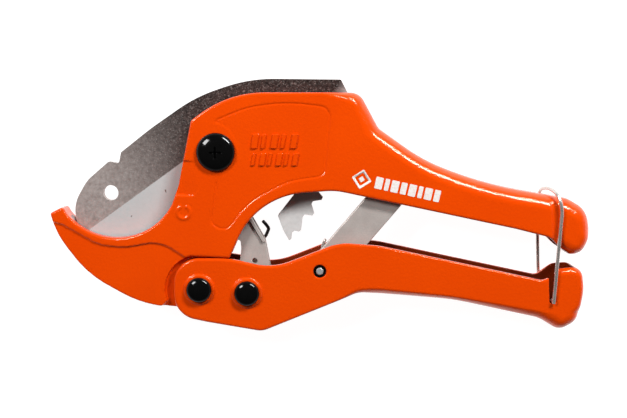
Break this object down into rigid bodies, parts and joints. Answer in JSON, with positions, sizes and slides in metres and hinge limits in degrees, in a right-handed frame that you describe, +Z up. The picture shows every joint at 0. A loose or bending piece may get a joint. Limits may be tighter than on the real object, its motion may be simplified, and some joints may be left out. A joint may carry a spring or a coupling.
{
  "type": "ratcheting pipe cutter",
  "caption": "Hand-held ratcheting cutter for plastic pipe: hook jaw, swinging ground blade, sprung pawl and link, two cast handles held shut by a wire clip.",
  "frame": {"origin": "on the blade's pivot axis, at the flat back face of the pivot's nut, which is the face the tool rests on when it lies on its side", "axes": "+X from the jaw towards the handle ends, +Y from the moving handle towards the fixed handle, +Z up, away from the resting face and along every hinge"},
  "size_m": [0.2102, 0.0981, 0.0223],
  "materials": {
    "fixed_body": "satin orange powder coat",
    "moving_handle": "satin orange powder coat",
    "blade": "hardened steel, bright ground edge",
    "blade_screw": "gloss black oxide",
    "blade_nut": "black oxide",
    "blade_spacer_upper": "zinc plated",
    "blade_spacer_lower": "zinc plated",
    "blade_spring": "black spring steel",
    "handle_pin": "gloss black oxide",
    "handle_pin_retainer": "black oxide",
    "pawl_pin": "gloss black oxide",
    "pawl_pin_retainer": "black oxide",
    "pawl": "tumbled zinc plate",
    "pawl_drive_pin": "plain steel",
    "pawl_spring": "black spring steel",
    "strut": "tumbled zinc plate",
    "strut_pin": "plain steel",
    "strut_slide_pin": "plain steel",
    "strut_spring": "bright spring steel",
    "wire_clip": "bright spring wire"
  },
  "bodies": {
    "fixed_side": {"fixed_body": "fixed_body", "blade_screw": "blade_screw", "blade_nut": "blade_nut", "blade_spacer_upper": "blade_spacer_upper", "blade_spacer_lower": "blade_spacer_lower", "blade_spring": "blade_spring"},
    "blade_side": {"blade": "blade"},
    "handle_side": {"moving_handle": "moving_handle", "handle_pin": "handle_pin", "handle_pin_retainer": "handle_pin_retainer", "pawl_pin": "pawl_pin", "pawl_pin_retainer": "pawl_pin_retainer", "strut_pin": "strut_pin", "strut_spring": "strut_spring"},
    "pawl_side": {"pawl": "pawl", "pawl_drive_pin": "pawl_drive_pin", "pawl_spring": "pawl_spring"},
    "strut_side": {"strut": "strut", "strut_slide_pin": "strut_slide_pin"},
    "clip_side": {"wire_clip": "wire_clip"}
  },
  "joints": [
    {"name": "blade_hinge", "type": "hinge", "parent": "fixed_side", "child": "blade_side", "pos_m": [0, 0, 0.0105], "axis": [0, 0, 1], "range_deg": [-55, 0], "deforming": ["blade_spring"]},
    {"name": "handle_hinge", "type": "hinge", "parent": "fixed_side", "child": "handle_side", "pos_m": [-0.007, -0.0535, 0.0105], "axis": [0, 0, 1], "range_deg": [-20, 0], "deforming": ["strut_spring"]},
    {"name": "pawl_hinge", "type": "hinge", "parent": "handle_side", "child": "pawl_side", "pos_m": [0.0116, -0.0549, 0.0105], "axis": [0, 0, 1], "range_deg": [-50, 0], "deforming": ["pawl_spring"]},
    {"name": "strut_hinge", "type": "hinge", "parent": "handle_side", "child": "strut_side", "pos_m": [0.04, -0.0464, 0.0105], "axis": [0, 0, 1], "range_deg": [0, 40]},
    {"name": "clip_hinge", "type": "hinge", "parent": "handle_side", "child": "clip_side", "pos_m": [0.131, -0.058, 0.0105], "axis": [0, 0, 1], "range_deg": [-262, 0]}
  ],
  "couplings": [
    {"joint": "strut_hinge", "follows": "handle_hinge", "ratio": -1.97},
    {"joint": "clip_hinge", "follows": "handle_hinge", "ratio": 13}
  ]
}
